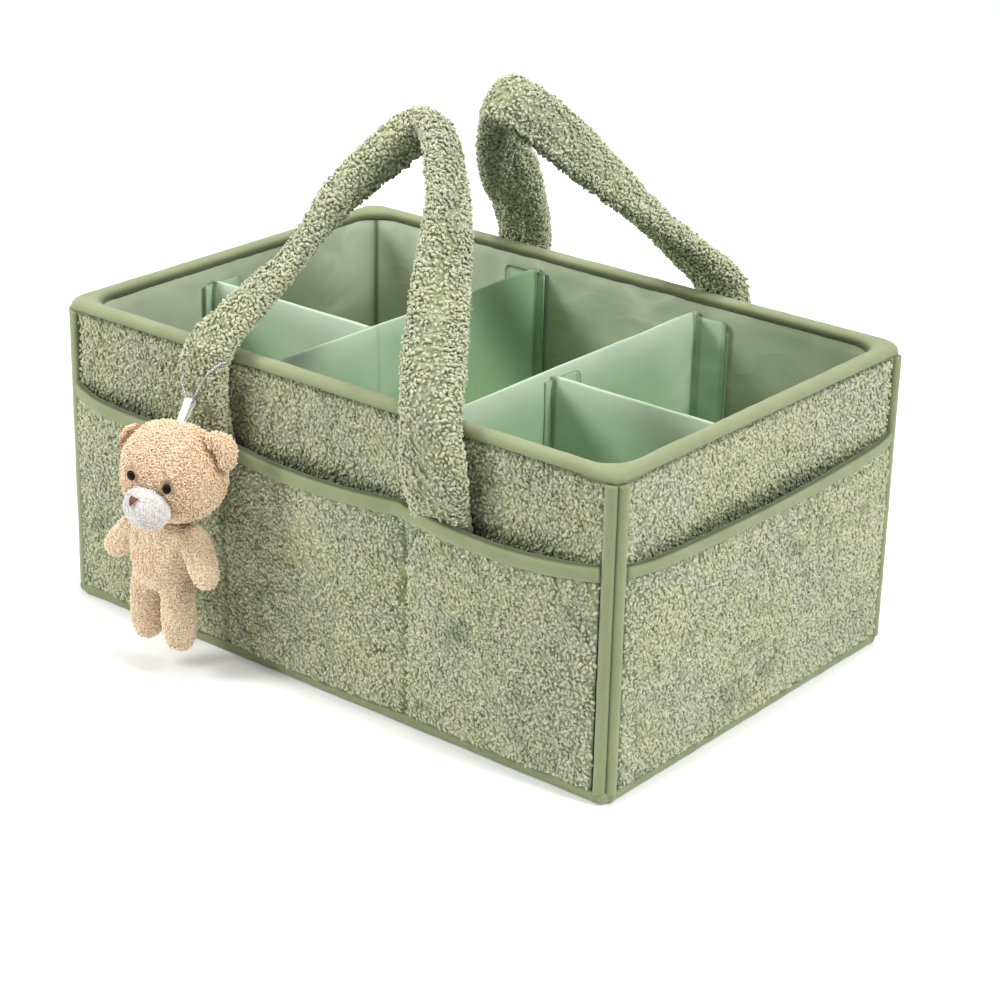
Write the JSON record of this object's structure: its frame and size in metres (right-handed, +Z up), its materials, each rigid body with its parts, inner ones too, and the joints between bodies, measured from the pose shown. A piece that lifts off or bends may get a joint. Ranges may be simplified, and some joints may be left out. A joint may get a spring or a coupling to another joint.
{
  "type": "diaper caddy",
  "caption": "Soft rectangular caddy of sherpa over stiff walls, with satin dividers, outer patch pockets, stuffed carry handles and a hanging plush bear.",
  "frame": {"origin": "centre of the base, on the surface that the caddy stands on", "axes": "+X along the length, to the right as seen from the front where the bear hangs; +Y from the front to the back; +Z up"},
  "size_m": [0.3974, 0.3426, 0.3081],
  "materials": {
    "sherpa": "sage sherpa pile of short curled loops, matte",
    "binding": "smooth olive-sage brushed tape, matte",
    "satin_lining": "satin-sheen sage lining cloth",
    "divider_satin": "satin-sheen mint cloth, stitched",
    "stiff_board": "plain stiff board",
    "loop_tape": "short brushed loop pile",
    "padding": "loose polyester padding",
    "peach_plush": "peach short plush, matte",
    "white_plush": "off-white short plush, matte",
    "nose_thread": "brown embroidery thread",
    "eye_gloss": "glossy black bead",
    "white_ribbon": "white woven ribbon",
    "silver_chain": "polished silver beads"
  },
  "bodies": {
    "basket": {"base_panel": "sherpa", "front_board": "stiff_board", "front_panel": "sherpa", "front_pocket": "sherpa", "front_pocket_binding": "binding", "back_board": "stiff_board", "back_panel": "sherpa", "back_pocket": "sherpa", "back_pocket_binding": "binding", "left_board": "stiff_board", "left_panel": "sherpa", "left_pocket": "sherpa", "left_pocket_binding": "binding", "right_board": "stiff_board", "right_panel": "sherpa", "right_pocket": "sherpa", "right_pocket_binding": "binding", "lining": "satin_lining", "rim_binding": "binding", "bottom_binding": "binding", "corner_binding_front_left": "binding", "front_left_loop_strip": "loop_tape", "corner_binding_front_right": "binding", "front_right_loop_strip": "loop_tape", "corner_binding_back_left": "binding", "back_left_loop_strip": "loop_tape", "corner_binding_back_right": "binding", "back_right_loop_strip": "loop_tape", "left_wall_loop_strip": "loop_tape", "right_wall_loop_strip": "loop_tape", "front_handle_left_end": "sherpa", "front_handle_right_end": "sherpa", "rear_handle_left_end": "sherpa", "rear_handle_right_end": "sherpa"},
    "left_cross_divider": {"left_cross_divider_cover": "divider_satin", "left_cross_divider_board": "stiff_board"},
    "right_cross_divider": {"right_cross_divider_cover": "divider_satin", "right_cross_divider_board": "stiff_board"},
    "left_long_divider": {"left_long_divider_cover": "divider_satin", "left_long_divider_board": "stiff_board"},
    "right_long_divider": {"right_long_divider_cover": "divider_satin", "right_long_divider_board": "stiff_board"},
    "front_handle": {"front_handle_sleeve": "sherpa", "front_handle_core": "padding"},
    "rear_handle": {"rear_handle_sleeve": "sherpa", "rear_handle_core": "padding"},
    "chain": {"ball_chain": "silver_chain"},
    "bear": {"hang_loop": "white_ribbon", "bear_body": "peach_plush", "bear_head": "peach_plush", "bear_left_ear": "peach_plush", "bear_right_ear": "peach_plush", "bear_left_arm": "peach_plush", "bear_right_arm": "peach_plush", "bear_left_leg": "peach_plush", "bear_right_leg": "peach_plush", "bear_muzzle": "white_plush", "bear_nose": "nose_thread", "bear_left_eye": "eye_gloss", "bear_right_eye": "eye_gloss"}
  },
  "joints": [
    {"name": "front_handle_swing", "type": "hinge", "parent": "basket", "child": "front_handle", "pos_m": [0.0045, -0.1366, 0.181], "axis": [1, 0, 0], "range_deg": [-12, 128]},
    {"name": "rear_handle_swing", "type": "hinge", "parent": "basket", "child": "rear_handle", "pos_m": [-0.006, 0.1366, 0.181], "axis": [-1, 0, 0], "range_deg": [-12, 133]},
    {"name": "left_cross_divider_lift", "type": "slide", "parent": "basket", "child": "left_cross_divider", "axis": [0, 0, 1], "range_m": [0, 0.015]},
    {"name": "right_cross_divider_lift", "type": "slide", "parent": "basket", "child": "right_cross_divider", "axis": [0, 0, 1], "range_m": [0, 0.015]},
    {"name": "left_long_divider_lift", "type": "slide", "parent": "basket", "child": "left_long_divider", "axis": [0, 0, 1], "range_m": [0, 0.17]},
    {"name": "right_long_divider_lift", "type": "slide", "parent": "basket", "child": "right_long_divider", "axis": [0, 0, 1], "range_m": [0, 0.17]},
    {"name": "chain_swing", "type": "hinge", "parent": "basket", "child": "chain", "pos_m": [-0.0715, -0.1268, 0.1625], "axis": [-1, 0, 0], "range_deg": [0, 20]},
    {"name": "bear_swing", "type": "hinge", "parent": "chain", "child": "bear", "pos_m": [-0.0715, -0.1494, 0.153], "axis": [0, 1, 0], "range_deg": [-15, 15]}
  ]
}
